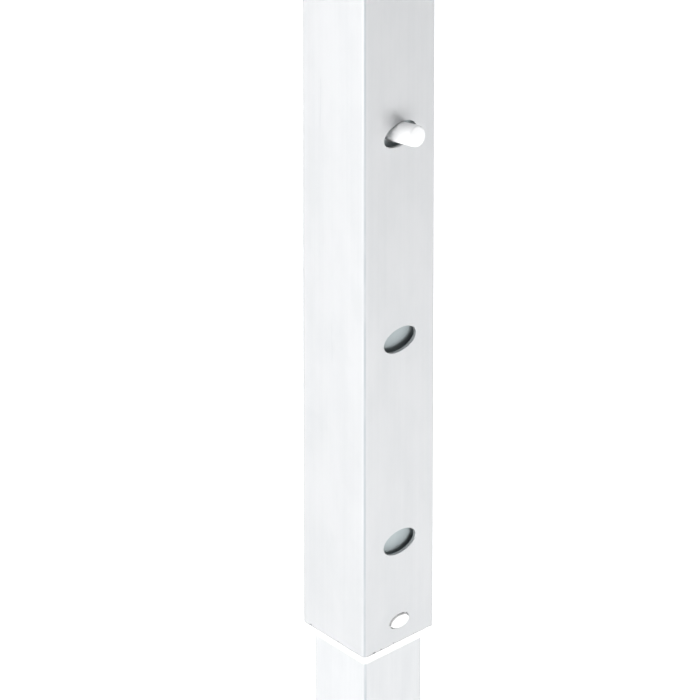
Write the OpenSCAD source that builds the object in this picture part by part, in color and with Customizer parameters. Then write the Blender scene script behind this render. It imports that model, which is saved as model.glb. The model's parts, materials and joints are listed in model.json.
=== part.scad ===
// Pop up canopy with four telescoping legs, a scissor truss that folds and a centre pole.
// Origin: centre of the footprint, on the ground. +Z up, millimetres.
// Leg A stands at +X -Y. Everything repeats four times, turned 90 degrees about Z.

/* [Shelter] */
// Distance between the axes of neighbouring legs
leg_span = 3000; // [2400:50:3600]
// Height of the upper pivots above the ground
upper_pivot_z = 2100; // [2000:10:2200]
// Height of the peak of the roof
peak_z = 3270; // [3200:10:3400]
// Height of the top edge of the valance
eave_z = 2170; // [2165:1:2200]
// Depth of the valance
valance_drop = 280; // [150:10:350]
// How far the valance hangs outside the leg axes
eave_overhang = 30; // [28:1:45]
// Thickness of the solid that stands for the fabric
fabric_t = 1; // [0.8:0.1:3]

/* [Legs] */
// Outside width of the outer leg tube
outer_w = 30; // [28:0.5:36]
// Wall of both leg tubes
tube_wall = 1.2; // [1:0.1:1.6]
// Height of the lower end of the outer tube
outer_end_z = 600; // [590:5:610]
// Outside width of the inner leg tube
inner_w = 24.5; // [23:0.1:25]
// Length of the inner tube
inner_len = 936; // [900:1:1000]
// Side of the square foot plate
foot_w = 90; // [70:1:110]
// Thickness of the foot plate
foot_t = 4; // [3:0.5:6]
// Diameter of the stake holes
stake_hole_d = 12; // [8:0.5:14]

/* [Height adjustment] */
// Distance between the height holes
hole_pitch = 76.2; // [60:0.1:90]
// Height of the lowest hole above the end of the outer tube
hole_first = 38.1; // [35:0.1:45]
// Width of a height hole
hole_w = 13.5; // [10:0.1:15]
// Height of a height hole
hole_h = 8.6; // [8.4:0.1:10]
// Diameter of the snap button
button_d = 8; // [6:0.1:8.2]
// How far the snap button stands out of the outer tube
button_out = 6.5; // [5:0.1:7]

/* [Truss] */
// Angle of the scissor bars above level when open
open_angle = 15; // [12:1:18]
// Distance from each leg or connector axis to its pivots
pivot_offset = 40; // [38:1:44]
// Height of a scissor bar
bar_h = 25; // [20:1:26]
// Thickness of a scissor bar
bar_w = 12; // [10:0.5:12]
// Wall of a scissor bar
bar_wall = 1.2; // [0.8:0.1:1.6]
// Diameter of the pivot pins
pin_d = 8; // [6:0.5:9]
// Diameter of the centre pole
pole_d = 25; // [22:0.5:26]

/* [Hidden] */
$fn = 48;
fit = 0.08;          // radial clearance of a pin in its hole
gap = 0.3;           // clearance between neighbouring pieces that move
skin = 0.05;         // clearance between pieces of one body
half = leg_span / 2;
eave_half = half + eave_overhang;
bay = half - 2 * pivot_offset;
bar_len = bay / cos(open_angle);
lower_pivot_z = upper_pivot_z - bar_len * sin(open_angle);
outer_top_z = upper_pivot_z + 40;
inner_cavity = outer_w - 2 * tube_wall;
hole_rest_z = outer_end_z + hole_first + 2 * hole_pitch;
storage_steps = 7;   // pitches from the rest hole up to the storage hole
bar_y = 10;          // middle of a bar from the middle of the truss
lug_t = 7;
lug_r = 10;
head_r = 7;
head_t = 2;
collar_w = 40;
slider_cavity = outer_w + 2 * gap;
slider_low = 16;
slider_high = 26;
channel_w = 11.2;
channel_out = outer_w / 2 + button_out + 0.9;
lock_r = 7;
lock_out = 33;
pole_top_z = peak_z - 25;
pole_low_z = lower_pivot_z - 18;
cap_r = 34;
roof_steps = 12;
roof_hollow = 0.07;  // how far the roof curves in, as a share of its rise
flange_t = 2.6;
spring_t = 0.8;
spring_z = hole_rest_z - 52;
far = 4000;

SIDES = ["right", "back", "left", "front"];
LEGS = ["a", "d", "c", "b"];
BARS = ["near_falling_bar", "near_rising_bar", "far_falling_bar",
        "far_rising_bar", "arm_falling_bar", "arm_rising_bar"];

// ---- places: leg k, the connector in the middle of side k, and the three scissor bays of side k
module at_leg(k) rotate([0, 0, 90 * k]) translate([half, -half, 0]) children();
module at_side(k) rotate([0, 0, 90 * k]) translate([half, 0, 0]) children();
module near_bay(k) at_leg(k) rotate([0, 0, 90]) children();
module far_bay(k) at_side(k) rotate([0, 0, 90]) children();
module arm_bay(k) at_side(k) rotate([0, 0, 180]) children();

// ---- shapes that repeat
// A square bar with its four upright edges rounded
module round_square(w, h, r) {
    for (turn = [0, 90]) rotate([0, 0, turn])
        translate([-w / 2 + r, -w / 2, 0]) cube([w - 2 * r, w, h]);
    for (x = [-1, 1], y = [-1, 1])
        translate([x * (w / 2 - r), y * (w / 2 - r), 0]) cylinder(r = r, h = h);
}

module square_tube(w, wall, h, r) {
    difference() {
        round_square(w, h, r);
        translate([0, 0, -1]) round_square(w - 2 * wall, h + 2, r / 2);
    }
}

function oval(w, h, steps = 48) =
    [for (i = [0:steps - 1]) [h / 2 * cos(360 * i / steps), w / 2 * sin(360 * i / steps)]];

// A cutter along +X through the wall of the outer tube
module oval_cutter(w, h) {
    translate([outer_w / 2 - 5, 0, 0]) rotate([0, 90, 0]) linear_extrude(10) polygon(oval(w, h));
}

// A cylinder along +Y from y0 to y1
module y_cylinder(r, y0, y1) {
    translate([0, y1, 0]) rotate([90, 0, 0]) cylinder(r = r, h = y1 - y0);
}

// A flat lug pointing along +X with its pivot pin on one side, -1 or 1
module lug(side, root) {
    translate([root, -lug_t / 2, -lug_r]) cube([pivot_offset - root, lug_t, 2 * lug_r]);
    translate([pivot_offset, 0, 0]) {
        y_cylinder(lug_r, -lug_t / 2, lug_t / 2);
        mirror([0, side < 0 ? 1 : 0, 0]) {
            y_cylinder(pin_d / 2, 0, bar_y + bar_w / 2 + 1);
            y_cylinder(head_r, bar_y + bar_w / 2 + 0.4, bar_y + bar_w / 2 + 0.4 + head_t);
        }
    }
}

module lugs(directions, side, root) {
    for (a = directions) rotate([0, 0, a]) lug(side, root);
}

// ---- scissor bars, drawn from their first pivot along +X
module bar() {
    difference() {
        union() {
            translate([0, -bar_w / 2, -bar_h / 2]) cube([bar_len, bar_w, bar_h]);
            for (x = [0, bar_len]) translate([x, 0, 0]) y_cylinder(bar_h / 2, -bar_w / 2, bar_w / 2);
        }
        translate([-bar_h, -bar_w / 2 + bar_wall, -bar_h / 2 + bar_wall])
            cube([bar_len + 2 * bar_h, bar_w - 2 * bar_wall, bar_h - 2 * bar_wall]);
        for (x = [0, bar_len / 2, bar_len])
            translate([x, 0, 0]) y_cylinder(pin_d / 2 + fit, -bar_w, bar_w);
    }
}

// The bar that falls away from its leg carries the pin where the two bars cross
module falling_bar() {
    color("gainsboro") translate([pivot_offset, 0, upper_pivot_z]) rotate([0, open_angle, 0]) {
        translate([0, -bar_y, 0]) bar();
        translate([bar_len / 2, 0, 0]) {
            y_cylinder(pin_d / 2 + fit, -bar_y - bar_w / 2, -bar_y + bar_w / 2);
            y_cylinder(pin_d / 2, -bar_y, bar_y + bar_w / 2 + 1);
            y_cylinder(head_r, -bar_y - bar_w / 2 - head_t, -bar_y - bar_w / 2);
            y_cylinder(head_r, -bar_y + bar_w / 2, bar_y - bar_w / 2 - gap);
            y_cylinder(head_r, bar_y + bar_w / 2 + 0.4, bar_y + bar_w / 2 + 0.4 + head_t);
        }
    }
}

module rising_bar() {
    color("gainsboro") translate([pivot_offset, bar_y, lower_pivot_z]) rotate([0, -open_angle, 0]) bar();
}

// ---- connectors in the middle of each side
module connector(z, side) {
    color("dimgray") translate([0, 0, z]) {
        translate([0, 0, -20]) round_square(30, 40, 3);
        lugs([90, 180, 270], side, 12);
    }
}
module upper_connector() connector(upper_pivot_z, -1);
module lower_connector() connector(lower_pivot_z, 1);

// ---- hubs on the centre pole
module hub(z, side, bore_r) {
    color("dimgray") translate([0, 0, z]) difference() {
        union() {
            translate([0, 0, -18]) cylinder(r = 24, h = 36);
            lugs([0, 90, 180, 270], side, 20);
        }
        translate([0, 0, -30]) cylinder(r = bore_r, h = 60);
    }
}
module hub_upper() hub(upper_pivot_z, -1, pole_d / 2 + 0.1);
module hub_lower() hub(lower_pivot_z, 1, pole_d / 2 + skin);

module centre_pole() {
    color("silver") {
        translate([0, 0, pole_low_z]) difference() {
            cylinder(r = pole_d / 2, h = pole_top_z - pole_low_z);
            translate([0, 0, -1]) cylinder(r = pole_d / 2 - bar_wall, h = pole_top_z - pole_low_z - 20);
        }
        translate([0, 0, peak_z - 46]) rotate_extrude()
            polygon([[pole_d / 2 - 1, 0], [cap_r - 6, 0], [cap_r, 6], [cap_r, 9], [5, 36], [0, 36],
                     [0, 20], [pole_d / 2 - 1, 20]]);
    }
}

// ---- leg pieces, drawn about the leg's own axis with the height holes towards +X
module outer_tube() {
    color("whitesmoke") difference() {
        translate([0, 0, outer_end_z])
            square_tube(outer_w, tube_wall, outer_top_z - outer_end_z, 1.5);
        for (step = [0, 1, 2, 2 + storage_steps])
            translate([0, 0, outer_end_z + hole_first + step * hole_pitch]) oval_cutter(hole_w, hole_h);
        translate([0, 0, outer_end_z + 7.9]) oval_cutter(8.2, 5.2);
    }
}

module top_bracket() {
    color("dimgray") {
        difference() {
            translate([0, 0, upper_pivot_z - 22]) round_square(collar_w, 67, 3);
            translate([0, 0, upper_pivot_z - 30])
                round_square(outer_w + 2 * skin, outer_top_z - upper_pivot_z + 30 + skin, 1.5);
        }
        translate([0, 0, upper_pivot_z]) lugs([90, 180], -1, outer_w / 2 + 2);
    }
}

// Bushing that guides the inner tube: a flange, a sleeve and a snap nub in the small hole
module bushing() {
    color("white") difference() {
        union() {
            translate([0, 0, outer_end_z - flange_t]) round_square(outer_w, flange_t, 1.5);
            translate([0, 0, outer_end_z - flange_t])
                round_square(inner_cavity - 2 * skin, flange_t + 22, 0.8);
            translate([outer_w / 2 - 3, 0, outer_end_z + 7.9]) rotate([0, 90, 0])
                linear_extrude(3.6) polygon(oval(7.3, 4.4));
        }
        translate([0, 0, outer_end_z - 10]) round_square(inner_w + 2 * 0.15, 60, 1.2);
    }
}

module slider() {
    color("dimgray") translate([0, 0, lower_pivot_z]) {
        difference() {
            union() {
                translate([0, 0, -slider_low]) round_square(collar_w, slider_low + slider_high, 3);
                translate([0, -channel_w / 2 - 3, -slider_low])
                    cube([channel_out + 2.4, channel_w + 6, slider_low + slider_high]);
                translate([0, 0, 5]) y_cylinder(lock_r + 4, -28, -collar_w / 2 + 1);
            }
            translate([0, 0, -slider_low - 1])
                round_square(slider_cavity, slider_low + slider_high + 2, 1.5);
            translate([0, -channel_w / 2, -slider_low - 1])
                cube([channel_out, channel_w, slider_low + slider_high + 2]);
            translate([0, 0, 5]) y_cylinder(lock_r + fit, -40, 0);
        }
        lugs([90, 180], 1, outer_w / 2 + 2);
    }
}

module lock_button() {
    color("orangered") translate([0, 0, lower_pivot_z + 5]) y_cylinder(lock_r, -lock_out, -lock_out + 13.5);
}

module inner_tube() {
    color("gainsboro") difference() {
        translate([0, 0, foot_t + skin]) square_tube(inner_w, tube_wall, inner_len, 1.2);
        translate([5, 0, hole_rest_z]) rotate([0, 90, 0]) cylinder(r = button_d / 2 + fit, h = 20);
    }
}

module foot() {
    color("dimgray") {
        difference() {
            round_square(foot_w, foot_t, 8);
            for (x = [-1, 1], y = [-1, 1])
                translate([x * 33, y * 33, -1]) cylinder(r = stake_hole_d / 2, h = foot_t + 2);
        }
        translate([0, 0, foot_t / 2]) difference() {
            round_square(inner_w + 8, 38, 3);
            translate([0, 0, foot_t / 2]) round_square(inner_w + 2 * skin, 60, 1.2);
        }
    }
}

module snap_button() {
    color("silver") translate([0, 0, hole_rest_z]) rotate([0, 90, 0]) rotate_extrude()
        polygon([[0, 8.4], [5.2, 8.4], [5.2, 10.4], [button_d / 2, 10.4],
                 [button_d / 2, outer_w / 2 + button_out - 2],
                 [button_d / 2 - 0.6, outer_w / 2 + button_out - 0.6],
                 [button_d / 2 - 2, outer_w / 2 + button_out], [0, outer_w / 2 + button_out]]);
}

// A U of spring strip that pushes the snap button out
module button_spring() {
    r = 9.6;
    color("silver") translate([8.3 - r, 0, spring_z]) {
        for (x = [-r, r - spring_t]) translate([x, -5, 0]) cube([spring_t, 10, 57]);
        difference() {
            y_cylinder(r, -5, 5);
            y_cylinder(r - spring_t, -6, 6);
            translate([-r - 1, -6, 0]) cube([2 * r + 2, 12, r + 1]);
        }
    }
}

module leg_upper() { outer_tube(); top_bracket(); bushing(); }
module leg_slider() { slider(); lock_button(); }
module leg_lower() { inner_tube(); foot(); button_spring(); }

// ---- one quarter of the roof with its valance, drawn towards +X
function roof_height(s) =
    eave_z + (peak_z - eave_z) * (1 - s - roof_hollow * sin(180 * s));

module canopy_quarter() {
    top = [for (i = [0:roof_steps]) [eave_half * i / roof_steps, roof_height(i / roof_steps)]];
    under = [for (i = [roof_steps:-1:0]) [top[i][0], top[i][1] - fabric_t]];
    color("white") intersection() {
        rotate([90, 0, 0]) linear_extrude(2 * far, center = true)
            polygon(concat(top, [[eave_half, eave_z - valance_drop],
                                 [eave_half - fabric_t, eave_z - valance_drop],
                                 [eave_half - fabric_t, under[0][1] + fabric_t * 0.4]],
                           [for (i = [1:roof_steps]) under[i]]));
        linear_extrude(far) polygon([[gap, 0], [far, far - gap], [far, gap - far]]);
    }
}

at_leg(0) outer_tube();  // leg_a_outer_tube
at_leg(0) top_bracket();  // leg_a_top_bracket
at_leg(0) bushing();  // leg_a_bushing
at_leg(0) slider();  // leg_a_slider
at_leg(0) lock_button();  // leg_a_lock_button
at_leg(0) inner_tube();  // leg_a_inner_tube
at_leg(0) foot();  // leg_a_foot
at_leg(0) snap_button();  // leg_a_snap_button
at_leg(0) button_spring();  // leg_a_button_spring
for (k = [1:3]) {
    at_leg(k) leg_upper();
    at_leg(k) leg_slider();
    at_leg(k) leg_lower();
    at_leg(k) snap_button();
}
for (k = [0:3]) {
    near_bay(k) falling_bar();
    near_bay(k) rising_bar();
    far_bay(k) falling_bar();
    far_bay(k) rising_bar();
    arm_bay(k) falling_bar();
    arm_bay(k) rising_bar();
    at_side(k) upper_connector();
    at_side(k) lower_connector();
    rotate([0, 0, 90 * k]) canopy_quarter();
}
hub_upper();
hub_lower();
centre_pole();
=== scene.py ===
# %% [markdown]
# # A pop up canopy
# A pop up canopy is a folding shelter for a market stall: four telescoping legs, a scissor truss and a
# fabric roof on a centre pole. The moving frame is already designed, so this lesson loads it and gives
# each piece the look of the real thing. The view is close up on one leg, where the inner tube comes out
# of the outer tube.

import json
import math

import bmesh
import bpy
from mathutils import Matrix, Vector, noise


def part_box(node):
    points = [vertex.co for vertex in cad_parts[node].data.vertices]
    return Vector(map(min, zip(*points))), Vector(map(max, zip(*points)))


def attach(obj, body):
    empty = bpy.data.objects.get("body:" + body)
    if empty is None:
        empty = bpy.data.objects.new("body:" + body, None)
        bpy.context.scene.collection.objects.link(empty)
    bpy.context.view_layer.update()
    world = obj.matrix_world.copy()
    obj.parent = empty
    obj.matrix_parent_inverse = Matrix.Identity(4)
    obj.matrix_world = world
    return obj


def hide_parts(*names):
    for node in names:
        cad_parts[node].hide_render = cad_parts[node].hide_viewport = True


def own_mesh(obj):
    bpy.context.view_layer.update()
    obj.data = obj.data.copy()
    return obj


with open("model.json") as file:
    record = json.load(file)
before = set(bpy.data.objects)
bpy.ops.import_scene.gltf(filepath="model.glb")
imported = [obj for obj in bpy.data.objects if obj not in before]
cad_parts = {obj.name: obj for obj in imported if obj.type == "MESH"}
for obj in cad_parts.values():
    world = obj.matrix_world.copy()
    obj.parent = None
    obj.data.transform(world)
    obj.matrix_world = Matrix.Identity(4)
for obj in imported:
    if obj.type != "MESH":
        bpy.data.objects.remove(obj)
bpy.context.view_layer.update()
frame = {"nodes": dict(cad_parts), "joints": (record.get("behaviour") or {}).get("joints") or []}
nodes = frame["nodes"]
joint_at = {j["name"]: Vector(j.get("pos_m", (0, 0, 0))) for j in frame["joints"]}
MM = 0.001

# %% [markdown]
# ## Where things are
# Every place comes from the frame, so nothing has to be fitted by eye. Leg A stands at +X -Y, and the
# shelter repeats four times about the vertical axis, so quarter turns take a piece of leg A to the other
# three legs. The letters of the legs don't follow the turns, so a table says how many turns each leg and
# each side stand away.

# %% Measures of the leg
tube_low, tube_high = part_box("leg_a_outer_tube")
half_span = (tube_low.x + tube_high.x) / 2
tube_half = tube_high.x - half_span
inner_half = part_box("leg_a_inner_tube")[1].x - half_span
pin_z = sum(corner.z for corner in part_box("leg_a_snap_button")) / 2
LEG_TURNS = {"a": 0, "d": 1, "c": 2, "b": 3}
print(f"leg axes {2 * half_span:.3f} m apart, snap button {pin_z:.3f} m above the ground")


def quarter_turns(turns):
    """Turns about the shelter's upright axis."""
    return Matrix.Rotation(math.radians(90 * turns), 4, "Z")


def leg_place(turns):
    """The frame of a leg: its axis upright, the height holes towards +X."""
    return quarter_turns(turns) @ Matrix.Translation((half_span, -half_span, 0))


# %% Measures of the truss
upper_z = joint_at["frame_fold"].z
lower_z = joint_at["leg_a_slider_pivot"].z
pivot_offset = joint_at["frame_fold"].y + half_span
bay_run = half_span - 2 * pivot_offset
bar_angle = math.atan2(upper_z - lower_z, bay_run)
bar_len = math.hypot(upper_z - lower_z, bay_run)
BAR_SHIFT = 10 * MM  # each bar of a crossing pair lies this far to its own side
SIDE_TURNS = {"right": 0, "back": 1, "left": 2, "front": 3}
BAY_START = {"near": (-half_span, 90), "far": (0, 90), "arm": (0, 180)}  # start along Y, heading in degrees
print(f"bars of {bar_len:.3f} m at {math.degrees(bar_angle):.1f} degrees")


def bar_place(side, bay, way):
    """The frame of a scissor bar, from its first pivot along +X."""
    start_y, heading = BAY_START[bay]
    bay_frame = (quarter_turns(SIDE_TURNS[side]) @ Matrix.Translation((half_span, start_y, 0))
                 @ Matrix.Rotation(math.radians(heading), 4, "Z"))
    falls = way == "falling"
    start = (pivot_offset, -BAR_SHIFT if falls else BAR_SHIFT, upper_z if falls else lower_z)
    slope = bar_angle if falls else -bar_angle
    return bay_frame @ Matrix.Translation(start) @ Matrix.Rotation(slope, 4, "Y")


# %% [markdown]
# ## The camera
# The view is from outside the corner and above. A short lens close by would spread the upright edges
# apart, so a very long lens stands far off and keeps them nearly parallel. The camera is set first,
# because it decides which details need the most care.

# %% Camera
AZIMUTH, ELEVATION = math.radians(48.2), math.radians(32.6)
LENS_MM, SENSOR_MM = 800, 36
VIEW_WIDTH = 224 * MM
AIM_LEFT, AIM_UP = 5.8 * MM, 87 * MM
across = Vector((math.cos(AZIMUTH), math.sin(AZIMUTH), 0))
away = Vector((math.sin(AZIMUTH), -math.cos(AZIMUTH), 0))
back = away * math.cos(ELEVATION) + Vector((0, 0, math.sin(ELEVATION)))
upward = back.cross(across)
tube_end = Vector((half_span, -half_span, tube_low.z))
aim = tube_end - across * AIM_LEFT + upward * AIM_UP
camera = bpy.data.objects.new("camera", bpy.data.cameras.new("camera"))
camera.data.lens = LENS_MM
camera.data.sensor_width = SENSOR_MM
camera.data.clip_start, camera.data.clip_end = 0.1, 100
camera.location = aim + back * (VIEW_WIDTH * LENS_MM / SENSOR_MM)
camera.rotation_euler = back.to_track_quat("Z", "Y").to_euler()
bpy.context.scene.collection.objects.link(camera)
bpy.context.scene.camera = camera
print("camera stands", round((camera.location - aim).length, 2), "m away")

# %% [markdown]
# ## Surface effects as node groups
# A group is a set of nodes with named inputs and outputs, built once and placed in every material that
# needs it. Four effects are shared here: the lines that a die leaves on a tube, the grain of a moulding,
# scuffs from handling, and a plain weave. Each group puts out masks or heights only, and each finish
# decides what to do with them. A few helpers come first, because adding one node takes several lines.


# %% Helpers that add one node
def math_node(tree, operation, a, b=None, clamp=False):
    """One operation on two values, each a number or the output of another node."""
    node = tree.nodes.new("ShaderNodeMath")
    node.operation, node.use_clamp = operation, clamp
    for socket, value in zip(node.inputs, (a, b)):
        if isinstance(value, bpy.types.NodeSocket):
            tree.links.new(value, socket)
        elif value is not None:
            socket.default_value = value
    return node.outputs[0]


def weighted_sum(tree, a, share_a, b, share_b, clamp=False):
    """Two masks or heights added up, each times its own share."""
    return math_node(tree, "ADD", math_node(tree, "MULTIPLY", a, share_a, clamp),
                     math_node(tree, "MULTIPLY", b, share_b, clamp), clamp)


def noise_node(tree, vector, scale, detail=3.0, roughness=0.5):
    """Cloudy noise from 0 to 1."""
    node = tree.nodes.new("ShaderNodeTexNoise")
    node.inputs["Scale"].default_value = scale
    node.inputs["Detail"].default_value = detail
    node.inputs["Roughness"].default_value = roughness
    tree.links.new(vector, node.inputs["Vector"])
    return node.outputs["Fac"]


def stretch_node(tree, vector, scale, rotation=(0, 0, 0)):
    """Coordinates turned and scaled, which turns and stretches the noise that reads them."""
    node = tree.nodes.new("ShaderNodeMapping")
    node.inputs["Rotation"].default_value = rotation
    node.inputs["Scale"].default_value = scale
    tree.links.new(vector, node.inputs["Vector"])
    return node.outputs["Vector"]


def ramp_node(tree, value, low, high):
    """0 below low, 1 above high, smooth between."""
    node = tree.nodes.new("ShaderNodeMapRange")
    node.interpolation_type = "SMOOTHSTEP"
    node.inputs["From Min"].default_value, node.inputs["From Max"].default_value = low, high
    tree.links.new(value, node.inputs["Value"])
    return node.outputs["Result"]


# %% A helper that starts a group
def new_group(name, outputs, threads=None):
    """A group that reads a vector, and a thread count where one is given. It puts out numbers."""
    group = bpy.data.node_groups.new(name, "ShaderNodeTree")
    group.interface.new_socket(name="Vector", in_out="INPUT", socket_type="NodeSocketVector")
    if threads:
        count = group.interface.new_socket(name="Threads per metre", in_out="INPUT",
                                           socket_type="NodeSocketFloat")
        count.default_value = threads
    for label in outputs:
        group.interface.new_socket(name=label, in_out="OUTPUT", socket_type="NodeSocketFloat")
    return group, group.nodes.new("NodeGroupInput").outputs, group.nodes.new("NodeGroupOutput").inputs


# %% Die lines on a drawn tube, which run along Z
# Scales are in waves per metre: many across the tube, few along it.
die_lines, take, give = new_group("die_lines", ["Lines", "Mottle"])
fine = noise_node(die_lines, stretch_node(die_lines, take["Vector"], (1500, 1500, 9)), 1, 2, 0.6)
broad = noise_node(die_lines, stretch_node(die_lines, take["Vector"], (420, 420, 2.5)), 1, 2)
die_lines.links.new(weighted_sum(die_lines, fine, 0.6, broad, 0.4), give["Lines"])
mottle = noise_node(die_lines, stretch_node(die_lines, take["Vector"], (90, 90, 34)), 1, 5, 0.62)
die_lines.links.new(mottle, give["Mottle"])
print("die_lines has", len(die_lines.nodes), "nodes")

# %% Grain of moulded plastic
moulded, take, give = new_group("moulded_grain", ["Grain", "Flow"])
moulded.links.new(noise_node(moulded, take["Vector"], 2600, 2), give["Grain"])
moulded.links.new(noise_node(moulded, take["Vector"], 38, 4), give["Flow"])
print("moulded_grain has", len(moulded.nodes), "nodes")

# %% Scuffs and scratches from use
scuffs, take, give = new_group("scuffs", ["Scratches", "Smudges"])
# Scratches are long thin waves at a slant, cut off outside a few patches.
slanted = stretch_node(scuffs, take["Vector"], (700, 60, 25), rotation=(0.3, 0.2, 0.5))
scratch = ramp_node(scuffs, noise_node(scuffs, slanted, 1, 3, 0.7), 0.66, 0.72)
patchy = ramp_node(scuffs, noise_node(scuffs, take["Vector"], 30, 2), 0.5, 0.62)
smudge = ramp_node(scuffs, noise_node(scuffs, take["Vector"], 55, 3), 0.6, 0.8)
scuffs.links.new(math_node(scuffs, "MULTIPLY", scratch, patchy), give["Scratches"])
scuffs.links.new(smudge, give["Smudges"])
print("scuffs has", len(scuffs.nodes), "nodes")

# %% Plain weave, read from a piece's own UV map in metres
THREADS_PER_METRE = 1400.0
weave, take, give = new_group("plain_weave", ["Height", "Slubs"], threads=THREADS_PER_METRE)
parts = weave.nodes.new("ShaderNodeSeparateXYZ")
weave.links.new(take["Vector"], parts.inputs["Vector"])
# Warp and weft are two waves, and their product rises where a thread lies on top.
waves = []
for axis in "XY":
    threads = math_node(weave, "MULTIPLY", parts.outputs[axis], take["Threads per metre"])
    waves.append(math_node(weave, "SINE", math_node(weave, "MULTIPLY", threads, math.pi)))
weave.links.new(math_node(weave, "ABSOLUTE", math_node(weave, "MULTIPLY", *waves)), give["Height"])
slubs = noise_node(weave, stretch_node(weave, take["Vector"], (320, 6, 1)), 1, 3, 0.6)
weave.links.new(slubs, give["Slubs"])
print("plain_weave has", len(weave.nodes), "nodes")

# %% [markdown]
# ## Finishes
# A finish starts as a Principled shader with its even values on its own sockets. What varies over the
# surface comes through the groups: colour, roughness and the height of a bump. A small class keeps a
# material, its nodes and its shader together, so that each finish below reads as a short recipe.

# %% A helper for finishes
MIX_COLOUR_INPUTS, MIX_COLOUR_OUTPUT = (6, 7), 2  # a Mix node has other sockets for numbers and vectors


class Finish:
    """A material with one Principled shader, and short ways to vary it."""

    def __init__(self, name, roughness=0.5, metallic=0.0, **sockets):
        self.material = bpy.data.materials.new(name)
        self.material.use_nodes = True
        self.tree = self.material.node_tree
        self.shader = self.tree.nodes["Principled BSDF"]
        for socket, value in {"Roughness": roughness, "Metallic": metallic, **sockets}.items():
            self.shader.inputs[socket].default_value = value
        self.coords = self.tree.nodes.new("ShaderNodeTexCoord").outputs["Object"]

    def attribute(self, name):
        """The outputs of a node that reads one of the piece's own attributes."""
        node = self.tree.nodes.new("ShaderNodeAttribute")
        node.attribute_name = name
        return node.outputs

    def group(self, group, vector=None, **values):
        """Places a group, which reads Object coordinates unless another vector is given."""
        node = self.tree.nodes.new("ShaderNodeGroup")
        node.node_tree = group
        self.tree.links.new(vector or self.coords, node.inputs["Vector"])
        for name, value in values.items():
            node.inputs[name].default_value = value
        return node.outputs

    def maths(self, operation, a, b):
        """One operation on masks, kept between 0 and 1."""
        return math_node(self.tree, operation, a, b, clamp=True)

    def blend(self, a, share_a, b, share_b):
        """Two masks added up by their shares, kept between 0 and 1."""
        return weighted_sum(self.tree, a, share_a, b, share_b, clamp=True)

    def mix(self, mask, first, second):
        """A colour between two others, each a colour or the output of another node."""
        node = self.tree.nodes.new("ShaderNodeMix")
        node.data_type = "RGBA"
        self.tree.links.new(mask, node.inputs["Factor"])
        for at, colour in zip(MIX_COLOUR_INPUTS, (first, second)):
            if isinstance(colour, bpy.types.NodeSocket):
                self.tree.links.new(colour, node.inputs[at])
            else:
                node.inputs[at].default_value = (*colour, 1)
        return node.outputs[MIX_COLOUR_OUTPUT]

    def paint(self, mask, first, second):
        """Gives the piece its colour, between two others."""
        self.tree.links.new(self.mix(mask, first, second), self.shader.inputs["Base Color"])

    def vary_roughness(self, mask, low, high):
        """Makes it rougher where the mask is higher."""
        node = self.tree.nodes.new("ShaderNodeMapRange")
        node.inputs["To Min"].default_value, node.inputs["To Max"].default_value = low, high
        self.tree.links.new(mask, node.inputs["Value"])
        self.tree.links.new(node.outputs["Result"], self.shader.inputs["Roughness"])

    def bump(self, height, distance, strength):
        """Raises the surface where the height is higher, by up to a distance in metres."""
        node = self.tree.nodes.new("ShaderNodeBump")
        node.inputs["Distance"].default_value = distance
        node.inputs["Strength"].default_value = strength
        self.tree.links.new(height, node.inputs["Height"])
        self.tree.links.new(node.outputs["Normal"], self.shader.inputs["Normal"])


# %% [markdown]
# ## Satin aluminium
# The legs, bars and pole are drawn aluminium. A mirror-like metal would look wrong, because the drawn
# skin is slightly oxidised and scatters light, so the shader is only partly metallic and fairly rough.
# The two leg tubes have marks of their own: a sawn end with burrs, and at the very end a thin dark line
# that is painted shade of the gap to the bushing; a darker line along the corners, painted shade for the
# darker reflection of the rounded corner; and on the inner tube a dull stretch where the outer tube covers
# it, given a darker colour as painted shade that shows through the holes.

# %% Marks that only the leg tubes have
SATIN_METALLIC = 0.6
COVERED_METALLIC_LOSS = 0.5
COVERED_FADE = 6 * MM


def paint_shade_where_covered(finish, base, height, lines, start):
    """Dulls a tube above a height, where it is inside another, and darkens its colour there as painted
    shade.
    """
    covered = ramp_node(finish.tree, height, start, start + COVERED_FADE)
    patches = ramp_node(finish.tree, lines["Mottle"], 0.1, 0.7)
    # Painted shade: the stretch inside the outer tube, seen through its holes, gets a darker colour.
    painted_shade = finish.mix(patches, (0.30, 0.345, 0.355), (0.38, 0.425, 0.435))
    loss = finish.maths("MULTIPLY", covered, COVERED_METALLIC_LOSS)
    finish.tree.links.new(finish.maths("SUBTRACT", SATIN_METALLIC, loss), finish.shader.inputs["Metallic"])
    return finish.mix(covered, base, painted_shade)


def burrs_and_end_shade(finish, base, height, lines, end):
    """Leaves a few dark burrs where a tube was sawn off, and at its end an uneven thin dark line, painted
    shade of the gap to the bushing.
    """
    near = finish.maths("SUBTRACT", 1.0, ramp_node(finish.tree, height, end + 0.2 * MM, end + 0.9 * MM))
    specks = ramp_node(finish.tree, noise_node(finish.tree, finish.coords, 430, 3), 0.58, 0.66)
    base = finish.mix(finish.maths("MULTIPLY", near, specks), base, (0.12, 0.13, 0.13))
    # The thin dark line at the very end is painted shade of the gap between the tube and the bushing.
    cut = finish.maths("SUBTRACT", 1.0, ramp_node(finish.tree, height, end + 0.15 * MM, end + 0.35 * MM))
    return finish.mix(finish.maths("MULTIPLY", cut, lines["Mottle"]), base, (0.16, 0.17, 0.18))


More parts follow.
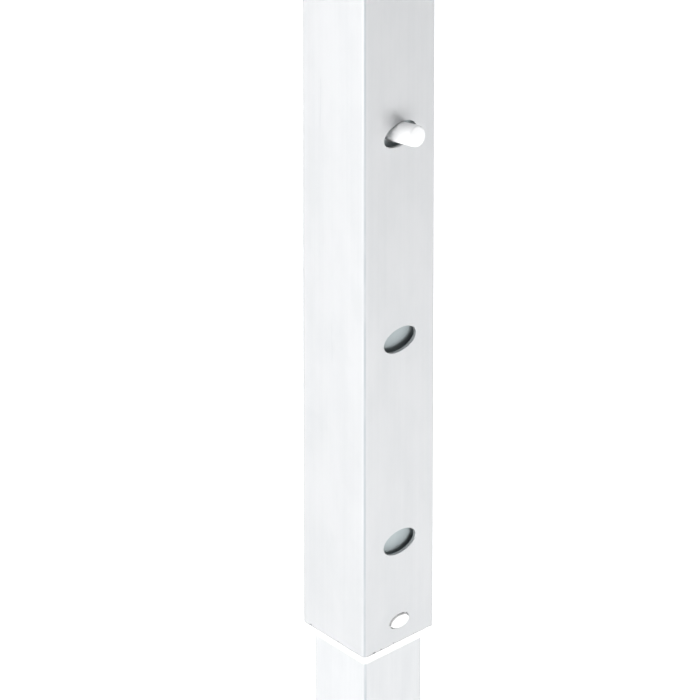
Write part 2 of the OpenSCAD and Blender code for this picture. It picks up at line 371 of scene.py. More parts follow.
def paint_shade_on_corners(finish, base, place, lines, half_width):
    """Paints a darker line on the upright edges of a leg tube as painted shade. The tube's axis is
    half_span from both middle planes.
    """
    from_axis = []
    for axis in "XY":
        from_middle = math_node(finish.tree, "ABSOLUTE", place[axis])
        off = math_node(finish.tree, "SUBTRACT", from_middle, half_span)
        from_axis.append(math_node(finish.tree, "ABSOLUTE", off))
    nearer = math_node(finish.tree, "MINIMUM", *from_axis)
    at_corner = ramp_node(finish.tree, nearer, half_width - 0.9 * MM, half_width - 0.5 * MM)
    uneven = ramp_node(finish.tree, lines["Mottle"], 0.2, 0.6)
    # The darker corner colour is painted shade, standing in for the darker reflection of a rounded corner.
    return finish.mix(finish.maths("MULTIPLY", at_corner, uneven), base, (0.40, 0.43, 0.45))


# %% Satin aluminium of the leg tubes, bars and pole
def drawn_aluminium(name, light, dark, mark, along=None, sawn_at=None, shaded_above=None, half_width=None):
    """Faint die lines and mottle from dark to light, with a few scratches of the mark colour.

    along names an attribute that holds the piece's own lengthwise axis. The last three are for leg tubes:
    the height of a sawn end, the height above which the tube gets painted shade, and half the tube's
    width, for painted shade along its corners."""
    finish = Finish(name, roughness=0.34, metallic=SATIN_METALLIC)
    vector = finish.attribute(along)["Vector"] if along else None
    lines = finish.group(die_lines, vector)
    worn = finish.group(scuffs, vector)
    shade = ramp_node(finish.tree, finish.blend(lines["Lines"], 0.35, lines["Mottle"], 0.65), 0.36, 0.64)
    base = finish.mix(shade, dark, light)
    split = finish.tree.nodes.new("ShaderNodeSeparateXYZ")
    finish.tree.links.new(finish.coords, split.inputs["Vector"])
    if shaded_above is not None:
        base = paint_shade_where_covered(finish, base, split.outputs["Z"], lines, shaded_above)
    if sawn_at is not None:
        base = burrs_and_end_shade(finish, base, split.outputs["Z"], lines, sawn_at)
    if half_width is not None:
        base = paint_shade_on_corners(finish, base, split.outputs, lines, half_width)
    finish.paint(finish.blend(worn["Scratches"], 0.25, worn["Smudges"], 0.12), base, mark)
    finish.vary_roughness(lines["Mottle"], 0.28, 0.42)
    finish.bump(lines["Lines"], 0.01 * MM, 0.4)
    return finish.material


# The inner tube gets its painted shade from this height above the end of the outer tube.
COVERED_START = 24 * MM  # above the end of the outer tube
outer_finish = drawn_aluminium("outer_tube_aluminium", (0.555, 0.560, 0.567), (0.525, 0.533, 0.541),
                               (0.38, 0.40, 0.42), sawn_at=tube_low.z, half_width=tube_half)
inner_finish = drawn_aluminium("inner_tube_aluminium", (0.60, 0.607, 0.614), (0.565, 0.575, 0.584),
                               (0.38, 0.39, 0.40), shaded_above=tube_low.z + COVERED_START,
                               half_width=inner_half)
bar_finish = drawn_aluminium("bar_aluminium", (0.78, 0.79, 0.80), (0.72, 0.73, 0.74), (0.45, 0.46, 0.47),
                             along="along_bar")
pole_finish = drawn_aluminium("pole_aluminium", (0.80, 0.81, 0.82), (0.74, 0.75, 0.76), (0.45, 0.46, 0.47))
print(len(bpy.data.materials), "materials")

# %% [markdown]
# ## Nylon, steel and lock buttons
# The brackets, sliders, hubs and feet are black glass-filled nylon, with a faint grain from the mould and
# flow marks that are a little paler. The bushing is white nylon. Pins and springs are zinc plated. The
# snap button is plated steel, but it gets a plain glossy shader with a pure white colour instead of a
# metallic one, which would mirror the room: the white is a painted highlight for its bright plating.


# %% Moulded plastic and plated steel
def moulded_plastic(name, colour, pale, roughness):
    """Even plastic with flow marks and scratches that go paler."""
    finish = Finish(name, roughness=roughness, **{"Specular IOR Level": 0.45})
    grain = finish.group(moulded)
    worn = finish.group(scuffs)
    finish.paint(finish.blend(grain["Flow"], 0.25, worn["Scratches"], 0.6), colour, pale)
    finish.vary_roughness(grain["Flow"], roughness - 0.06, roughness + 0.12)
    finish.bump(grain["Grain"], 0.03 * MM, 0.6)
    return finish.material


def plated_steel(name, light, dark, metallic=1.0):
    """Bright plating, a little cloudy and smudged."""
    finish = Finish(name, roughness=0.25, metallic=metallic)
    grain = finish.group(moulded)
    worn = finish.group(scuffs)
    finish.paint(finish.blend(grain["Flow"], 0.5, worn["Smudges"], 0.4), light, dark)
    finish.vary_roughness(grain["Flow"], 0.16, 0.36)
    finish.bump(grain["Grain"], 0.01 * MM, 0.4)
    return finish.material


black_nylon = moulded_plastic("black_nylon", (0.028, 0.029, 0.032), (0.10, 0.10, 0.105), 0.42)
white_nylon = moulded_plastic("white_nylon", (0.96, 0.96, 0.955), (0.90, 0.90, 0.89), 0.38)
red_plastic = moulded_plastic("red_plastic", (0.50, 0.028, 0.022), (0.62, 0.12, 0.09), 0.35)
steel = plated_steel("zinc_plated_steel", (0.86, 0.87, 0.88), (0.66, 0.67, 0.68))
# The snap button's pure white, non-metallic colour is a painted highlight in place of its plated steel's
# reflection.
button_painted_highlight = plated_steel("button_steel_painted_highlight", (1.0, 1.0, 1.0), (0.95, 0.955, 0.96), metallic=0.0)
print(len(bpy.data.materials), "materials")

# %% [markdown]
# ## Coated polyester
# The roof is plain woven polyester with a dull coating inside. An image could carry the stitching, but
# two numbers on each point do it without one: how far the point is from the nearest sewn edge, and how
# far along that edge it lies. Two rows of stitches then follow every seam and hem, whatever the shape of
# the sheet.

# %% Coated polyester of the roof
STITCH_ROWS = (6 * MM, 18 * MM)  # distances from the sewn edge
STITCH_PITCH, STITCH_SHARE = 4 * MM, 0.7
THREAD_HALF = 0.7 * MM


def coated_cloth(name, colour, shade, stitch):
    """Plain woven cloth, stitched by its own attributes 'edge' and 'along', both in metres."""
    finish = Finish(name, roughness=0.62, **{"Sheen Weight": 0.12, "Sheen Roughness": 0.5})
    uv = finish.tree.nodes.new("ShaderNodeUVMap").outputs["UV"]
    cloth = finish.group(weave, uv, **{"Threads per metre": THREADS_PER_METRE})
    edge = finish.attribute("edge")["Fac"]
    along = finish.attribute("along")["Fac"]
    rows = []
    for from_edge in STITCH_ROWS:
        off = math_node(finish.tree, "ABSOLUTE", math_node(finish.tree, "SUBTRACT", edge, from_edge))
        rows.append(math_node(finish.tree, "LESS_THAN", off, THREAD_HALF))
    dash = math_node(finish.tree, "FRACT", math_node(finish.tree, "MULTIPLY", along, 1 / STITCH_PITCH))
    thread = math_node(finish.tree, "MULTIPLY", math_node(finish.tree, "MAXIMUM", *rows),
                       math_node(finish.tree, "LESS_THAN", dash, STITCH_SHARE))
    soft = noise_node(finish.tree, finish.coords, 2.2, 4, 0.55)
    finish.paint(thread, finish.mix(finish.blend(cloth["Slubs"], 0.35, soft, 0.5), colour, shade), stitch)
    finish.vary_roughness(soft, 0.55, 0.72)
    finish.bump(weighted_sum(finish.tree, cloth["Height"], 0.2, thread, -1.0), 0.4 * MM, 0.6)
    return finish.material


roof_cloth = coated_cloth("roof_cloth", (0.80, 0.815, 0.83), (0.70, 0.72, 0.745), (0.55, 0.57, 0.60))
print(len(bpy.data.materials), "materials")

# %% [markdown]
# ## Refining the frame's pieces
# The frame's own meshes have the right sizes but knife edges, which no drawn or moulded piece has.
# Modelling each piece anew could let it drift from its size, so a merged copy of the mesh gets a small
# bevel on every sharp edge instead, and the edges catch the light. The copy replaces the frame's node.
# Round pieces are spun from a profile.


# %% Helpers that copy, finish and place a piece
def frame_copy(node, turns=0):
    """A merged copy of a node's mesh, in flat faces instead of loose triangles."""
    bm = bmesh.new()
    bm.from_mesh(nodes[node].data)
    bmesh.ops.remove_doubles(bm, verts=bm.verts, dist=0.02 * MM)
    bmesh.ops.dissolve_limit(bm, angle_limit=math.radians(1), verts=bm.verts, edges=bm.edges)
    bmesh.ops.transform(bm, matrix=quarter_turns(turns), verts=bm.verts)
    return bm


def piece_from(bm, name, body, replaced, materials, rim=0.0):
    """A finished piece. rim is the width of the bevel on its sharp edges."""
    mesh = bpy.data.meshes.new(name)
    bm.to_mesh(mesh)
    bm.free()
    mesh.shade_smooth()
    mesh.set_sharp_from_angle(angle=math.radians(32))
    for material in materials:
        mesh.materials.append(material)
    piece = bpy.data.objects.new(name, mesh)
    bpy.context.scene.collection.objects.link(piece)
    if rim:
        bevel = piece.modifiers.new("rims", "BEVEL")
        bevel.limit_method, bevel.angle_limit = "ANGLE", math.radians(40)
        bevel.width, bevel.segments, bevel.profile = rim, 2, 0.5
        bevel.use_clamp_overlap = False
        bevel.harden_normals = True
    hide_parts(replaced)
    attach(piece, body)
    return piece


# %% Helpers for turned pieces
def spun(profile, place):
    """A turned shape. profile is a row of (radius, distance along X), from axis to axis."""
    bm = bmesh.new()
    ring = [bm.verts.new((along, radius, 0)) for radius, along in profile]
    edges = [bm.edges.new(pair) for pair in zip(ring, ring[1:])]
    bmesh.ops.spin(bm, geom=ring + edges, cent=(0, 0, 0), axis=(1, 0, 0), angle=math.tau, steps=48,
                   use_merge=True)
    bmesh.ops.remove_doubles(bm, verts=bm.verts, dist=0.001 * MM)
    bmesh.ops.recalc_face_normals(bm, faces=bm.faces)
    bmesh.ops.transform(bm, matrix=place, verts=bm.verts)
    return bm


def quarter_round(radius, end, points):
    """Profile points of a quarter circle, which rounds an edge that ends at 'end'."""
    steps = [math.radians(90) * i / points for i in range(points + 1)]
    return [(radius * math.cos(a), end - radius + radius * math.sin(a)) for a in steps]


# %% [markdown]
# ## Rivet heads
# The pins that cross the bars end in domed heads with a shallow socket. The frame has them as plain
# discs. A head could be a new piece, but insetting the disc three times shapes it in place: two rising
# rings make the dome, and the third falls to the bottom of the socket.

# %% Rivet heads
HEAD_RADIUS = 7 * MM
HEAD_RINGS = ((0.9, 0.5), (2.2, 0.25), (0.3, -0.9))  # width and rise of each ring, in mm
DISC_SHARES = (0.93, 1.02)  # a head is a polygon, a little smaller than its round disc


def dish_the_heads(bm, material_index):
    """Shapes every round head of a piece, and says how many there were."""
    disc = math.pi * HEAD_RADIUS ** 2
    low, high = DISC_SHARES
    heads = [f for f in bm.faces if len(f.verts) > 10 and low < f.calc_area() / disc < high]
    for head in heads:
        head.material_index = material_index
        for edge in head.edges:
            for wall in edge.link_faces:
                wall.material_index = material_index
        for width, rise in HEAD_RINGS:
            bmesh.ops.inset_region(bm, faces=[head], thickness=width * MM, depth=rise * MM)
    return len(heads)


# %% [markdown]
# ## Tubes and mouldings of the legs
# A leg is two square tubes, one inside the other. A nylon bushing closes the end of the outer tube and
# guides the inner one. The tubes' long corners are rounder than their cut ends, so they get a wider bevel
# of their own before the small one. One function makes all four legs from the pieces of leg A, each a
# quarter turn further round.

# %% Pieces of a leg
LEG_PIECES = {
    # piece: (body, slot, finish, bevel)
    "outer_tube": ("upper", "outer_tube", outer_finish, 0.22 * MM),
    "top_bracket": ("upper", "black_nylon", black_nylon, 1.1 * MM),
    "bushing": ("upper", "white_nylon", white_nylon, 0.35 * MM),
    "slider": ("slider", "black_nylon", black_nylon, 0.8 * MM),
    "inner_tube": ("lower", "inner_tube", inner_finish, 0.2 * MM),
    "foot": ("lower", "black_nylon", black_nylon, 0.7 * MM),
    "button_spring": ("lower", "spring_steel", steel, 0.12 * MM),
}
TUBE_CORNERS = {"outer_tube": 0.9 * MM, "inner_tube": 0.8 * MM}
SHORTEST_CORNER = 5 * MM


def round_the_corners(bm, kind):
    """Rounds the long outer corners of a square tube."""
    low = Vector(map(min, zip(*(v.co for v in bm.verts))))
    high = Vector(map(max, zip(*(v.co for v in bm.verts))))
    corners = []
    for edge in bm.edges:
        a, b = (v.co for v in edge.verts)
        outside = all(min(v[i] - low[i], high[i] - v[i]) < 0.05 * MM for v in (a, b) for i in (0, 1))
        if outside and abs(a.z - b.z) > SHORTEST_CORNER:
            corners.append(edge)
    bmesh.ops.bevel(bm, geom=corners, offset=TUBE_CORNERS[kind], affect="EDGES", segments=4, profile=0.5,
                    material=-1)


def make_tubes_and_mouldings(letter):
    """Leg A has a node for each piece, and another leg has one for each body."""
    for kind, (part, slot, finish, rim) in LEG_PIECES.items():
        body = f"leg_{letter}_{part}"
        replaced = f"leg_a_{kind}" if letter == "a" else body
        bm = frame_copy(f"leg_a_{kind}", LEG_TURNS[letter])
        if kind in TUBE_CORNERS:
            round_the_corners(bm, kind)
        materials = [finish]
        if dish_the_heads(bm, 1):
            materials.append(steel)
        piece_from(bm, f"leg_{letter}_{kind}_finished", body, replaced, materials, rim)


# %% [markdown]
# ## The snap button
# A spring pushes this button out through a height hole, and the tube rests on it. It is a turned stem
# with a softly rounded rim and a washer behind that stops it in the tube. The spring holds it a little
# askew, so it leans up and sits off the middle of its hole. A spun profile makes it, because a plain
# cylinder would have a knife edge for a rim.

# %% Snap button
BUTTON_TILT = math.radians(15)
BUTTON_PLAY = 0.5 * MM
BUTTON_RADIUS, BUTTON_RIM, BUTTON_END = 3.5 * MM, 0.8 * MM, 22.7 * MM
BUTTON_CROWN = 0.1 * MM
WASHER_RADIUS, WASHER_BACK, WASHER_FRONT = 5.2 * MM, 8.4 * MM, 10.4 * MM


def make_snap_button(letter):
    washer = [(0, WASHER_BACK), (WASHER_RADIUS, WASHER_BACK), (WASHER_RADIUS, WASHER_FRONT)]
    stem = [(BUTTON_RADIUS, WASHER_FRONT)]
    flat_radius = BUTTON_RADIUS - BUTTON_RIM
    rim = [(flat_radius + out, along) for out, along in quarter_round(BUTTON_RIM, BUTTON_END, 5)]
    profile = washer + stem + rim + [(0, BUTTON_END + BUTTON_CROWN)]
    hole = Matrix.Translation((tube_half, BUTTON_PLAY, pin_z + BUTTON_PLAY))
    lean = Matrix.Rotation(-BUTTON_TILT, 4, "Y") @ Matrix.Translation((-tube_half, 0, 0))
    bm = spun(profile, leg_place(LEG_TURNS[letter]) @ hole @ lean)
    name = f"leg_{letter}_snap_button"
    piece_from(bm, f"{name}_finished", name, name, [button_painted_highlight], 0.2 * MM)


# %% [markdown]
# ## The lock button
# Each slider has a red button that frees it from its leg. Its face is dished for a thumb. Only leg A's
# moves on its own here, and the others ride on their sliders. The dish is part of the spun profile, so no
# cutting is needed.

# %% Lock button
LOCK_RADIUS, LOCK_START, LOCK_END = 7 * MM, 19.5 * MM, 33 * MM
LOCK_ABOVE_PIVOT = 5 * MM


def make_lock_button(letter):
    side = [(0, LOCK_START), (LOCK_RADIUS, LOCK_START), (LOCK_RADIUS, LOCK_END - 1.2 * MM),
            (LOCK_RADIUS - 0.5 * MM, LOCK_END - 0.3 * MM)]
    dish = [(5.2 * MM, LOCK_END), (4.6 * MM, LOCK_END - 0.4 * MM), (2.5 * MM, LOCK_END - 0.9 * MM),
            (0, LOCK_END - 1.1 * MM)]
    place = (leg_place(LEG_TURNS[letter]) @ Matrix.Translation((0, 0, lower_z + LOCK_ABOVE_PIVOT))
             @ Matrix.Rotation(math.radians(-90), 4, "Z"))
    body = "leg_a_lock_button" if letter == "a" else f"leg_{letter}_slider"
    piece_from(spun(side + dish, place), f"leg_{letter}_lock_button_finished", body, body,
               [red_plastic], 0.2 * MM)


# %% The four legs
for letter in LEG_TURNS:
    make_tubes_and_mouldings(letter)
    make_snap_button(letter)
    make_lock_button(letter)
print(len(LEG_TURNS), "legs of", len(LEG_PIECES) + 2, "pieces")

# %% [markdown]
# ## The scissor truss
# Each bar is a flat oval-ended tube with a moulded plug in each end, pinned where two bars cross. The bar
# is the frame's own, bevelled. Bars lie at all angles, so die lines on upright coordinates would cut
# across them. Each bar therefore carries an attribute with its own lengthwise axis, and the finish reads
# that.

# %% Bars
PLUG_DEPTH, PLUG_WIDTH, PLUG_HEIGHT = 9 * MM, 9.4 * MM, 0.72 * 22.4 * MM
PLUG_PAST_PIVOT = 8.5 * MM


def add_plug(bm, at, outward):
    """A moulded plug that closes the end of a bar."""
    middle = Matrix.Translation((at + outward * PLUG_PAST_PIVOT, 0, 0))
    size = Matrix.Diagonal((PLUG_DEPTH, PLUG_WIDTH, PLUG_HEIGHT, 1))
    plug = bmesh.ops.create_cube(bm, size=1, matrix=middle @ size)
    for face in {f for v in plug["verts"] for f in v.link_faces}:
        face.material_index = 1


def make_bar(side, bay, way):
    name = f"{side}_{bay}_{way}_bar"
    place = bar_place(side, bay, way)
    bm = frame_copy(name)
    bmesh.ops.transform(bm, matrix=place.inverted(), verts=bm.verts)
    dish_the_heads(bm, 2)
    add_plug(bm, 0, -1)
    add_plug(bm, bar_len, 1)
    lengthwise = bm.verts.layers.float_vector.new("along_bar")
    for vert in bm.verts:
        vert[lengthwise] = (vert.co.y, vert.co.z, vert.co.x)
    bmesh.ops.transform(bm, matrix=place, verts=bm.verts)
    materials = [bar_finish, black_nylon, steel]
    piece_from(bm, f"{name}_finished", name, name, materials, 0.5 * MM)


bars = [(side, bay, way) for side in SIDE_TURNS for bay in BAY_START for way in ("falling", "rising")]
for bar in bars:
    make_bar(*bar)
print(len(bars), "bars")

# %% [markdown]
# ## Connectors, hubs and centre pole
# The connectors and hubs are glass-filled nylon mouldings with soft corners, pinned to the bars. The pole
# is drawn tube with a moulded cap that spreads the load on the cloth. They could be built up
# from boxes and cylinders, but the frame's nodes already have every lug and bore in its place, so they
# are bevelled like the rest. The cap is part of the pole's node, and takes its own finish by height.


# %% Connectors and hubs
def make_moulding(name, rim):
    """A connector or hub, with the pins that it carries."""
    bm = frame_copy(name)
    dish_the_heads(bm, 1)
    piece_from(bm, f"{name}_finished", name, name, [black_nylon, steel], rim)


for side in SIDE_TURNS:
    make_moulding(f"{side}_upper_connector", 1 * MM)
    make_moulding(f"{side}_lower_connector", 1 * MM)
make_moulding("hub_upper", 0.9 * MM)
make_moulding("hub_lower", 0.9 * MM)
print("connectors and hubs made")

# %% Centre pole
CAP_DEPTH, CAP_FROM_AXIS = 46 * MM, 9 * MM
cap_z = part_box("centre_pole")[1].z - CAP_DEPTH
bm = frame_copy("centre_pole")
for face in bm.faces:
    middle = face.calc_center_median()
    face.material_index = int(middle.z > cap_z and middle.to_2d().length > CAP_FROM_AXIS)
piece_from(bm, "centre_pole_finished", "hub_lower", "centre_pole", [pole_finish, black_nylon],
           0.8 * MM)
print(f"centre pole with a cap from {cap_z:.3f} m up")

# %% [markdown]
# ## The roof
# The roof has four sides of coated polyester, sewn along the hips into one tent that the centre pole
# pushes up. A side is a grid bent to the height of the roof, with shallow wrinkles that die out at the
# hips, so that neighbours meet exactly. A cloth simulation could stretch it, but a formula is quicker,
# and the real roof is pulled tight too. A seam divides each side: the large gore hangs from the pole, and
# the narrow eave band stays on the leg tops when the frame folds.

# %% Measures of the roof
roof_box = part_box("canopy_right")
eave_half = roof_box[1].x
peak_z = roof_box[1].z
eave_z = max(v.co.z for v in nodes["canopy_right"].data.vertices if v.co.x > eave_half - 0.1 * MM)
valance_drop = eave_z - roof_box[0].z
BAND_START = 0.86  # share of the way from the peak to the eave where the seam lies
ROOF_HOLLOW = 0.07
CLOTH = 0.9 * MM
SLOPE_STEPS = 200


def roof_height(share):
    """Height of the roof at a share of the way from the peak to the eave."""
    return eave_z + (peak_z - eave_z) * (1 - share - ROOF_HOLLOW * math.sin(math.pi * share))


slope = [Vector((eave_half * i / SLOPE_STEPS, roof_height(i / SLOPE_STEPS)))
         for i in range(SLOPE_STEPS + 1)]
slope_run = sum((b - a).length for a, b in zip(slope, slope[1:]))
print(f"eave at {eave_z:.3f} m, peak at {peak_z:.3f} m")
print(f"slope {slope_run:.3f} m, valance {valance_drop:.3f} m")

# %% [markdown]
# ## Helpers for cloth
# Every sheet of the roof starts as a flat grid. One helper bends it with a function that is given for
# each kind of sheet, and keeps what the finish needs: a UV map in metres and the two numbers for the
# stitching. The wall that Solidify makes is turned into mesh.


# %% Cloth grids
def cloth_grid(x_segments, y_segments, lay):
    """A grid bent by lay(x, y), which gives place, flat place, distance to an edge and along it."""
    bm = bmesh.new()
    bmesh.ops.create_grid(bm, x_segments=x_segments, y_segments=y_segments, size=1)
    uv = bm.loops.layers.uv.new("UVMap")
    edge = bm.verts.layers.float.new("edge")
    along = bm.verts.layers.float.new("along")
    flat = {}
    for vert in bm.verts:
        vert.co, flat[vert], vert[edge], vert[along] = lay(vert.co.x, vert.co.y)
    for face in bm.faces:
        for loop in face.loops:
            loop[uv].uv = flat[loop.vert]
    return bm


def face_towards(bm, direction):
    """Makes all faces of an open sheet look to one side."""
    bmesh.ops.recalc_face_normals(bm, faces=bm.faces)
    if sum(f.normal.dot(direction) for f in bm.faces) < 0:
        bmesh.ops.reverse_faces(bm, faces=bm.faces)


def bake_modifiers(piece):
    """Turns a piece's modifiers into mesh."""
    depsgraph = bpy.context.evaluated_depsgraph_get()
    solid = bpy.data.meshes.new_from_object(piece.evaluated_get(depsgraph))
    solid.name = piece.name
    piece.modifiers.clear()
    piece.data = solid


# %% Shape of a roof side
HIP_CALM, EAVE_CALM = 0.25, 0.12  # metres from a hip, and share before the eave, where wrinkles die out
BROAD_WAVES, RIDGES, PULLS, SAG = 10 * MM, 6 * MM, 3.5 * MM, 12 * MM
PULLS_AT, PULLS_REACH = 0.93, 0.16
SEAM_LIFT, SEAM_WIDTH = 1.6 * MM, 14 * MM
LIP = 12 * MM


def roof_point(share, sideways, seed):
    """A point of the side towards +X. sideways runs from -1 to 1, hip to hip."""
    from_hip = (1 - abs(sideways)) * share * eave_half
    calm = min(1, from_hip / HIP_CALM) ** 2 * min(1, (1 - share) / EAVE_CALM)
    broad = noise.noise(Vector((share * 3.1, sideways * 2.2 * share, seed)))
    # Ridges run down the slope, so they change fast sideways. Pulls spread from seven points of the eave.
    ridges = noise.noise(Vector((share * 2.4, sideways * 11 * share + broad, seed + 7)))
    pulled = math.sin(7 * math.pi * sideways) * math.exp(-((share - PULLS_AT) / PULLS_REACH) ** 2)
    wrinkles = calm * (BROAD_WAVES * broad + RIDGES * ridges + PULLS * pulled)
    sag = SAG * calm * share * (1 - sideways ** 2)
    seam = SEAM_LIFT * max(0, 1 - (from_hip / SEAM_WIDTH) ** 4)
    lip = 0.5 * LIP * max(0, (share - 1) * eave_half / LIP + 1) ** 2
    return Vector((eave_half * share, eave_half * share * sideways,
                   roof_height(share) + wrinkles - sag + seam - lip))


# %% Gores and eave bands
ROOF_COLUMNS = 96
GORE_ROWS, BAND_ROWS = 64, 12
HIP_NEARER, HIP_LONGER = 0.8, 1.3  # a hip runs aslant, so it is nearer to a point and longer than the slope


def make_roof_piece(name, side, seed, inner, outer, rows, body):
    """A sheet of one side, from a share 'inner' to a share 'outer' of the way to the eave."""
    def lay(x, y):
        share = inner + (outer - inner) * math.sin(math.radians(45) * (x + 1))
        sideways = math.sin(math.radians(90) * y)
        from_middle = share * sideways * eave_half
        to_hip = (1 - abs(sideways)) * share * eave_half * HIP_NEARER
        to_eave = (1 - share) * slope_run
        to_seam = abs(share - BAND_START) * slope_run
        along = share * slope_run * HIP_LONGER if to_hip < to_eave else from_middle
        flat = (from_middle, share * slope_run)
        return roof_point(share, sideways, seed), flat, min(to_hip, to_eave, to_seam), along

    bm = cloth_grid(rows, ROOF_COLUMNS, lay)
    bmesh.ops.remove_doubles(bm, verts=bm.verts, dist=0.01 * MM)
    face_towards(bm, Vector((0, 0, 1)))
    turn = quarter_turns(SIDE_TURNS[side])
    bmesh.ops.transform(bm, matrix=turn, verts=bm.verts)
    piece = piece_from(bm, name, body, f"canopy_{side}", [roof_cloth])
    wall = piece.modifiers.new("cloth", "SOLIDIFY")
    wall.thickness, wall.offset = CLOTH, -1
    bake_modifiers(piece)
    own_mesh(piece)
    return piece


def make_gore(side, seed):
    """The large part of a side, sewn to its neighbours along the hips and carried by the centre pole."""
    return make_roof_piece(f"canopy_{side}_gore", side, seed, 0, BAND_START, GORE_ROWS,
                           body=f"canopy_{side}")


def make_eave_band(side, seed):
    """The lowest part of a side, a strip that stays on the leg tops when the frame folds."""
    truss = f"{side}_upper_connector"
    return make_roof_piece(f"canopy_{side}_eave_band", side, seed, BAND_START, 1, BAND_ROWS, body=truss)


# %% [markdown]
# ## The valances
# A valance is the strip that hangs from each eave. It hangs free, so it ripples more towards its hem, and
# it is thicker there, where the cloth is turned up and sewn. A vertex group tells Solidify where the hem
# is. The strip rides on the truss, not on the roof, because it stays at the leg tops when the frame
# folds.

# %% Valances
VALANCE_COLUMNS, VALANCE_ROWS = 170, 16
CORNER_CALM = 0.15
RIPPLE, MOST_OUT, SET_BACK = 6.5 * MM, 7 * MM, 1.5 * MM
HEM, HEM_WALL, SINGLE_SHARE = 22 * MM, 2.2 * MM, 0.4


def make_valance(side, seed):
    """One valance, made towards +X and then turned to its side."""
    def lay(sideways, up):
        down = (1 - up) / 2
        y, drop = sideways * eave_half, down * valance_drop
        calm = min(1, (1 - abs(sideways)) * eave_half / CORNER_CALM)
        drift = noise.noise(Vector((y * 1.3, down * 0.6, seed)))
        # Folds are 2 pi / 17 m apart, drift sideways on their way down and are uneven in depth.
        ripple = math.sin(y * 17 + 3.2 * drift) * 0.55 + noise.noise(Vector((y * 7, down * 1.5, seed + 3)))
        swing = calm * down ** 1.3 * (RIPPLE * ripple)
        out = min(swing, MOST_OUT) - SET_BACK - LIP * 0.25 * max(0, 1 - drop / LIP) ** 2
        place = Vector((eave_half + out, y * (1 + out / eave_half), eave_z - drop - 1 * MM))
        return place, (y, -drop), valance_drop - drop, y

    bm = cloth_grid(VALANCE_COLUMNS, VALANCE_ROWS, lay)
    face_towards(bm, Vector((1, 0, 0)))
    edge = bm.verts.layers.float["edge"]
    hem_verts = [v.index for v in bm.verts if v[edge] < HEM]
    turn = quarter_turns(SIDE_TURNS[side])
    bmesh.ops.transform(bm, matrix=turn, verts=bm.verts)
    truss = f"{side}_upper_connector"
    valance = piece_from(bm, f"canopy_{side}_valance", truss, f"canopy_{side}",
                         [roof_cloth])
    thick = valance.vertex_groups.new(name="thick")
    thick.add([v.index for v in valance.data.vertices], SINGLE_SHARE, "REPLACE")
    thick.add(hem_verts, 1.0, "REPLACE")
    wall = valance.modifiers.new("cloth", "SOLIDIFY")
    wall.thickness, wall.offset, wall.vertex_group = HEM_WALL, -1, thick.name
    bake_modifiers(valance)
    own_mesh(valance)
    return valance


# %% The four sides of the roof
for number, side in enumerate(SIDE_TURNS):
    seed = 10 * number
    sheets = [make_gore(side, seed), make_eave_band(side, seed), make_valance(side, seed + 5)]
    print(side, "side:", *(f"{sheet.name} has {len(sheet.data.polygons)} faces" for sheet in sheets))

# %% [markdown]
# ## The floor
# A plain pale floor stands under the shelter. Lit by lamps alone it would show grey bands, so it also
# gives off light of its own, like a lit paper sweep in a studio.

# %% Floor
bm = bmesh.new()
bmesh.ops.create_grid(bm, x_segments=1, y_segments=1, size=40)
mesh = bpy.data.meshes.new("floor")
bm.to_mesh(mesh)
bm.free()
glow = {"Emission Strength": 0.7, "Emission Color": (1, 1, 1, 1)}
floor_paper = Finish("floor_paper", roughness=0.9, **glow)
floor_paper.paint(floor_paper.group(moulded)["Flow"], (0.9, 0.9, 0.9), (0.88, 0.88, 0.88))
mesh.materials.append(floor_paper.material)
floor = bpy.data.objects.new("floor", mesh)
bpy.context.scene.collection.objects.link(floor)
print("floor", *floor.dimensions.to_2d(), "m")

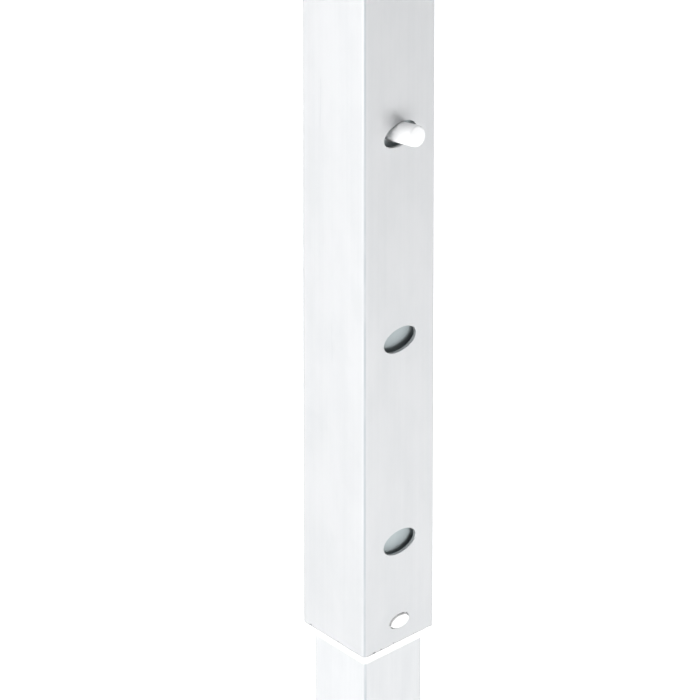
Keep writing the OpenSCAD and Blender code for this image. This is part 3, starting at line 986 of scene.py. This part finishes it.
# %% [markdown]
# ## The lights
# Satin metal shows what stands around it, so the lights are large and soft. One low softbox near the leg
# makes its left face the brightest, and a faint one does the right face. A wide one overhead and one
# behind light the roof and the truss. A palm-sized reflector beside the end of the outer tube brightens
# the lower part of its right face. It is kept out of the gloss, where it would show as a white stripe.


# %% Lights
def softbox(name, place, towards, size, watts, seen_in_gloss=True):
    """A square lamp that the camera doesn't see."""
    light = bpy.data.lights.new(name, "AREA")
    light.shape, light.size, light.energy = "SQUARE", size, watts
    lamp = bpy.data.objects.new(name, light)
    lamp.location = place
    lamp.rotation_euler = (Vector(place) - Vector(towards)).to_track_quat("Z", "Y").to_euler()
    lamp.visible_camera = False
    lamp.visible_glossy = seen_in_gloss
    bpy.context.scene.collection.objects.link(lamp)


softbox("left_softbox", (1.2, -4.0, 0.4), (1.5, -1.5, 0.65), 2.2, 71)
softbox("right_softbox", (7.5, 0.6, 0.6), (1.5, -1.5, 0.6), 3.5, 2)
softbox("back_softbox", (-4.0, 6.5, 3.0), (0, 0, 1.4), 5, 60)
softbox("top_softbox", (1.0, -1.0, 9.0), (0, 0, 0), 8, 520)
softbox("low_reflector", tube_end + Vector((0.26, 0.02, 0.02)), tube_end + Vector((0, 0, 0.03)), 0.12, 0.5,
        seen_in_gloss=False)
print(len(bpy.data.lights), "lights")

# %% [markdown]
# ## The sky
# The sky fills the shadows with a faint cool light. Seen straight on it would be a dark backdrop at that
# strength, so the world asks what kind of ray it meets, and is paler for the ones that come from the
# camera.

# %% Sky
SKY_LIGHT, SKY_SEEN = 0.17, 0.85
world = bpy.data.worlds.new("studio")
world.use_nodes = True
sky = world.node_tree.nodes["Background"]
sky.inputs["Color"].default_value = (0.93, 0.96, 1.0, 1)
camera_ray = world.node_tree.nodes.new("ShaderNodeLightPath").outputs["Is Camera Ray"]
extra = math_node(world.node_tree, "MULTIPLY", camera_ray, SKY_SEEN - SKY_LIGHT)
strength = math_node(world.node_tree, "ADD", extra, SKY_LIGHT)
world.node_tree.links.new(strength, sky.inputs["Strength"])
bpy.context.scene.world = world
bpy.context.scene.view_settings.view_transform = "Standard"
print("sky strength", SKY_LIGHT, "as light and", SKY_SEEN, "as seen")
